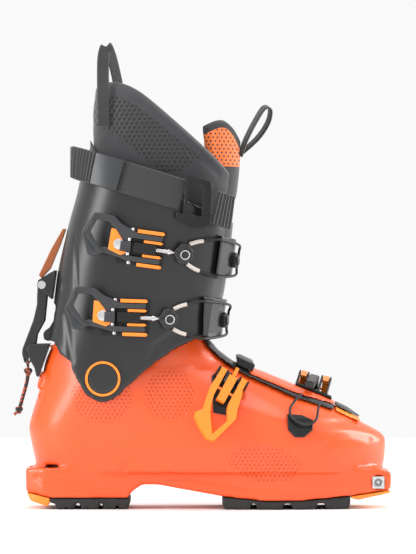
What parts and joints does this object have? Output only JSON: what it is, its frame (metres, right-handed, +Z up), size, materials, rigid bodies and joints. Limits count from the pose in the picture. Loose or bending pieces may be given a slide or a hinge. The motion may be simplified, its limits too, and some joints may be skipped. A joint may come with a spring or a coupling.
{
  "type": "alpine touring boot",
  "caption": "Right alpine touring boot: moulded shell with pinned cuff, padded liner and tongue, cuff and instep buckles with wire bails, strap, rear ski and walk lock, rubber sole.",
  "frame": {"origin": "on the underside of the heel tread, on the heel lug below the middle of the ankle, on the boot's centre plane", "axes": "+X forward to the toe, +Y to the inner (medial) side of this right boot, +Z up"},
  "size_m": [0.3144, 0.1347, 0.385],
  "materials": {
    "shell_orange": "satin moulded polyamide shell",
    "cuff_black": "satin black fibre-filled polyamide",
    "bright_orange": "semi-gloss moulded or painted orange",
    "burnt_orange": "satin",
    "black_plastic": "satin moulded black",
    "grey_plastic": "satin dark grey",
    "black_metal": "black coated metal",
    "steel": "machined and polished",
    "sole_rubber": "matt moulded rubber",
    "lining_fabric": "padded liner fabric over foam",
    "mesh_fabric": "spacer mesh over foam",
    "webbing": "woven black webbing",
    "cord": "braided black cord with orange flecks",
    "wire_rope": "coated black wire rope"
  },
  "bodies": {
    "shell": {"lower_shell": "shell_orange", "instep_flap": "shell_orange", "instep_gasket": "black_plastic", "toe_gasket": "black_plastic", "toe_trim": "bright_orange", "heel_sole": "sole_rubber", "forefoot_sole": "sole_rubber", "heel_bumper": "bright_orange", "toe_bumper": "bright_orange", "toe_fitting": "steel", "heel_fitting": "steel", "boot_board": "grey_plastic", "liner_foot": "lining_fabric", "rear_bracket": "black_plastic", "spine_arm": "black_plastic", "pivot_pin_lateral": "black_plastic", "pivot_pin_medial": "black_plastic", "instep_buckle_base": "black_metal", "instep_catch": "black_metal", "toe_buckle_base": "black_metal", "toe_rack": "black_metal"},
    "cuff": {"cuff": "cuff_black", "spoiler": "black_plastic", "pivot_ring_lateral": "bright_orange", "pivot_ring_medial": "bright_orange", "liner_cuff": "lining_fabric", "tongue": "mesh_fabric", "rear_pull_loop": "webbing", "front_pull_loop": "webbing", "power_strap": "webbing", "strap_pad": "grey_plastic", "strap_tail": "webbing", "strap_buckle": "black_metal", "lever_bracket": "black_plastic", "leaf_strip": "burnt_orange", "lever_bolt": "steel", "upper_buckle_base": "black_metal", "upper_buckle_catch": "black_plastic", "lower_buckle_base": "black_metal", "lower_buckle_catch": "black_plastic"},
    "lock_lever": {"lock_lever": "black_plastic", "lock_pin": "steel", "cord_eye": "cord", "cord_knot_upper": "cord", "pull_cord": "cord", "cord_knot_lower": "cord"},
    "upper_lever": {"upper_buckle_lever": "grey_plastic"},
    "upper_bail": {"upper_buckle_bail": "steel", "upper_buckle_cable_block": "black_plastic", "upper_buckle_cable": "wire_rope"},
    "lower_lever": {"lower_buckle_lever": "grey_plastic"},
    "lower_bail": {"lower_buckle_bail": "steel", "lower_buckle_cable_block": "black_plastic", "lower_buckle_cable": "wire_rope"},
    "instep_lever": {"instep_buckle_lever": "bright_orange"},
    "instep_bail": {"instep_buckle_bail": "bright_orange"},
    "toe_lever": {"toe_buckle_lever": "bright_orange"},
    "toe_bail": {"toe_buckle_bail": "black_plastic", "toe_cable": "wire_rope"}
  },
  "joints": [
    {"name": "cuff_lean", "type": "hinge", "parent": "shell", "child": "cuff", "pos_m": [0.0085, 0, 0.108], "axis": [0, 1, 0], "range_deg": [-26, 8]},
    {"name": "lock_lever_swing", "type": "hinge", "parent": "cuff", "child": "lock_lever", "pos_m": [-0.0432, 0, 0.1851], "axis": [0, 1, 0], "range_deg": [0, 75], "deforming": ["cord_eye", "cord_knot_upper", "pull_cord", "cord_knot_lower"]},
    {"name": "upper_lever", "type": "hinge", "parent": "cuff", "child": "upper_lever", "pos_m": [0.05387, -0.05866, 0.2134], "axis": [0.1388, -0.0717, 0.9877], "range_deg": [0, 110]},
    {"name": "upper_bail", "type": "hinge", "parent": "upper_lever", "child": "upper_bail", "pos_m": [0.04001, -0.05938, 0.21529], "axis": [0.1388, -0.0717, 0.9877], "range_deg": [-110, 0], "deforming": ["upper_buckle_cable"]},
    {"name": "lower_lever", "type": "hinge", "parent": "cuff", "child": "lower_lever", "pos_m": [0.04115, -0.05685, 0.15796], "axis": [0.0349, -0.0051, 0.9994], "range_deg": [0, 110]},
    {"name": "lower_bail", "type": "hinge", "parent": "lower_lever", "child": "lower_bail", "pos_m": [0.02716, -0.05717, 0.15845], "axis": [0.0349, -0.0051, 0.9994], "range_deg": [-110, 0], "deforming": ["lower_buckle_cable"]},
    {"name": "instep_lever", "type": "hinge", "parent": "shell", "child": "instep_lever", "pos_m": [0.11532, -0.04442, 0.10898], "axis": [-0.8709, -0.0301, 0.4905], "range_deg": [0, 110]},
    {"name": "instep_bail", "type": "hinge", "parent": "instep_lever", "child": "instep_bail", "pos_m": [0.10908, -0.04961, 0.09757], "axis": [-0.8709, -0.0301, 0.4905], "range_deg": [-110, 0]},
    {"name": "toe_lever", "type": "hinge", "parent": "shell", "child": "toe_lever", "pos_m": [0.18461, 0.01773, 0.10735], "axis": [0.9667, -0.11, -0.231], "range_deg": [0, 110]},
    {"name": "toe_bail", "type": "hinge", "parent": "toe_lever", "child": "toe_bail", "pos_m": [0.18391, 0.029, 0.09908], "axis": [0.9667, -0.11, -0.231], "range_deg": [-110, 0], "deforming": ["toe_cable"]}
  ],
  "couplings": [
    {"joint": "upper_bail", "follows": "upper_lever", "ratio": -1},
    {"joint": "lower_bail", "follows": "lower_lever", "ratio": -1},
    {"joint": "instep_bail", "follows": "instep_lever", "ratio": -1},
    {"joint": "toe_bail", "follows": "toe_lever", "ratio": -1}
  ]
}
